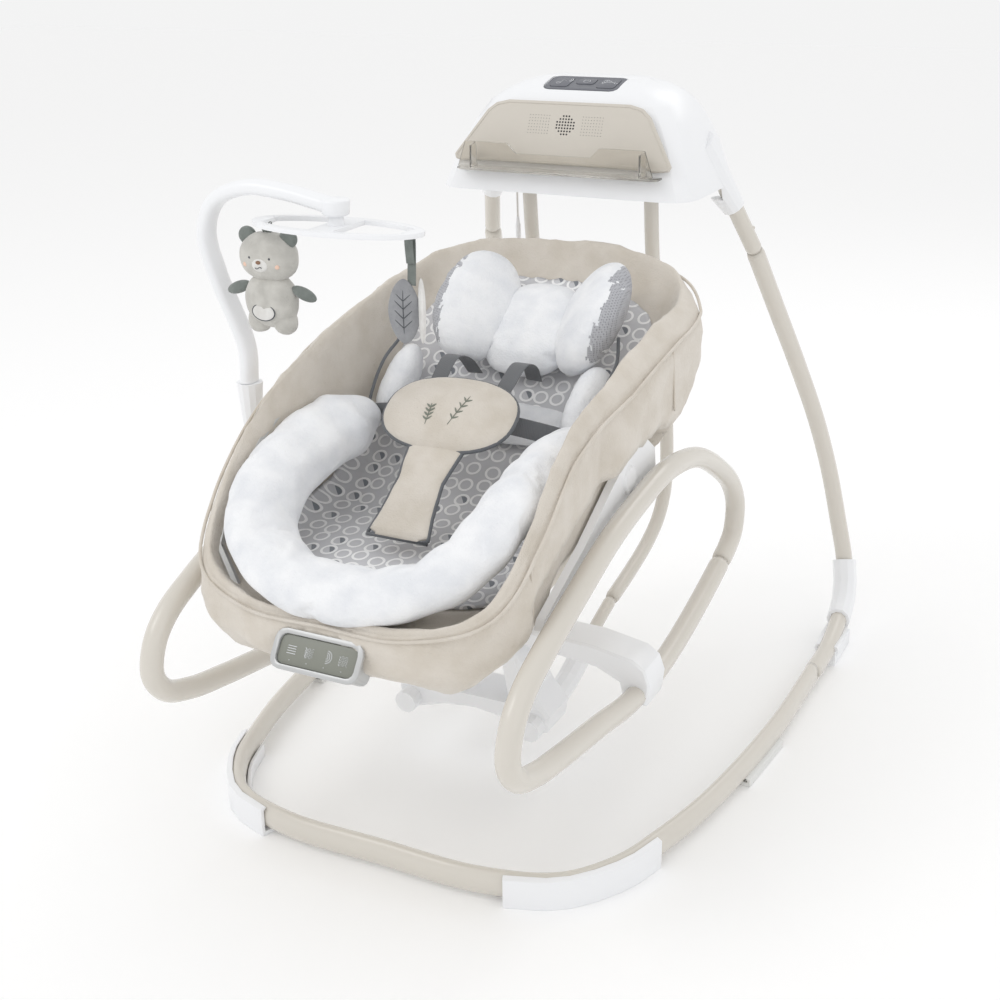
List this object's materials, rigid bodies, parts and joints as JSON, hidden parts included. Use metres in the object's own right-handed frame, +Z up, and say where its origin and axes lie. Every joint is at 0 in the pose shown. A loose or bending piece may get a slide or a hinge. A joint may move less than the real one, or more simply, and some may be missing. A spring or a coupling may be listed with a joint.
{
  "type": "baby swing",
  "caption": "Baby swing with a curved tube stand, a soft reclining seat on a lift-off rocker frame, a control head and a toy bar.",
  "frame": {"origin": "floor level, under the middle of the stand's footprint", "axes": "+Z up, -Y towards the foot of the seat (the front), +X to the object's left-hand side as the baby sits"},
  "size_m": [0.796, 1.1394, 0.9507],
  "materials": {
    "paint": "gloss",
    "white": "gloss",
    "rubber": "matt",
    "beige": "satin",
    "clear": "clear",
    "slate": "satin",
    "board": "satin",
    "black": "matt",
    "steel": "satin",
    "coil": "satin",
    "cells": "satin",
    "plush": "soft",
    "print": "printed",
    "white_plush": "soft",
    "webbing": "woven",
    "silver": "gloss",
    "sage": "gloss",
    "grey_plush": "soft",
    "cord": "matt"
  },
  "bodies": {
    "stand": {"base_tube": "paint", "lower_leg_l": "paint", "lower_leg_r": "paint", "upper_leg_l": "paint", "upper_leg_r": "paint", "front_foot_l": "white", "front_foot_r": "white", "side_pad_l": "rubber", "side_pad_r": "rubber", "rear_foot_l": "white", "rear_foot_r": "white", "head_housing": "white", "head_base": "white", "battery_door": "white", "front_panel": "beige", "tray": "clear", "control_overlay": "slate", "circuit_board": "board", "speaker": "black", "drive_coil": "coil", "batteries": "cells"},
    "swing": {"swing_axle": "steel", "arm_yoke": "white", "drive_magnet": "steel", "swing_arm_l": "paint", "swing_arm_r": "paint", "arm_end_l": "paint", "arm_end_r": "paint", "cradle": "white", "lead_top": "cord", "lead_connector": "white"},
    "rocker": {"rocker_tube_l": "paint", "rocker_tube_r": "paint", "rocker_rail_l": "paint", "rocker_rail_r": "paint", "bridge": "white", "seat_bracket_l": "white", "seat_bracket_r": "white"},
    "seat": {"seat_cover": "plush", "seat_frame": "steel", "seat_liner": "print", "bolster": "white_plush", "head_pillow": "white_plush", "body_support": "white_plush", "crotch_pad": "plush", "belly_pad": "plush", "waist_strap": "webbing", "shoulder_strap_l": "webbing", "shoulder_strap_r": "webbing", "vibration_unit": "silver", "toy_socket": "white", "lead_low": "cord"},
    "toy_arm": {"toy_arm": "white"},
    "toy_ring": {"toy_ring": "white"},
    "bear": {"bear": "grey_plush"},
    "leaves": {"leaves": "grey_plush"},
    "sound_key": {"sound_key": "slate"},
    "power_key": {"power_key": "slate"},
    "swing_speed_key": {"swing_speed_key": "slate"},
    "mode_panel": {"mode_panel": "sage"}
  },
  "joints": [
    {"name": "swing", "type": "hinge", "parent": "stand", "child": "swing", "pos_m": [0, 0.26, 0.872], "axis": [0, 1, 0], "range_deg": [-12, 12]},
    {"name": "seat_lift", "type": "slide", "parent": "swing", "child": "rocker", "axis": [0, -0.6, 0.8], "range_m": [0, 0.12]},
    {"name": "recline", "type": "hinge", "parent": "rocker", "child": "seat", "pos_m": [0, -0.156, 0.491], "axis": [1, 0, 0], "range_deg": [0, 8], "deforming": ["lead_low"]},
    {"name": "toy_swivel", "type": "hinge", "parent": "seat", "child": "toy_arm", "pos_m": [-0.283, -0.262, 0.59], "axis": [0, 0, 1], "range_deg": [-90, 20]},
    {"name": "toy_ring_spin", "type": "hinge", "parent": "toy_arm", "child": "toy_ring", "pos_m": [-0.105, -0.3, 0.818], "axis": [0, 0, 1], "continuous": true},
    {"name": "bear_swing", "type": "hinge", "parent": "toy_ring", "child": "bear", "pos_m": [-0.209, -0.3, 0.8176], "axis": [0, 1, 0], "range_deg": [-25, 16]},
    {"name": "leaves_swing", "type": "hinge", "parent": "toy_ring", "child": "leaves", "pos_m": [-0.001, -0.3, 0.8176], "axis": [0, 1, 0], "range_deg": [-25, 25]},
    {"name": "sound_press", "type": "slide", "parent": "stand", "child": "sound_key", "axis": [0, 0.2419, -0.9703], "range_m": [0, 0.0008], "stiffness_N_per_m": 600},
    {"name": "power_press", "type": "slide", "parent": "stand", "child": "power_key", "axis": [0, 0.2419, -0.9703], "range_m": [0, 0.0008], "stiffness_N_per_m": 600},
    {"name": "swing_speed_press", "type": "slide", "parent": "stand", "child": "swing_speed_key", "axis": [0, 0.2419, -0.9703], "range_m": [0, 0.0008], "stiffness_N_per_m": 600},
    {"name": "mode_press", "type": "slide", "parent": "seat", "child": "mode_panel", "axis": [0, 0.8191, -0.5736], "range_m": [0, 0.001], "stiffness_N_per_m": 600}
  ]
}
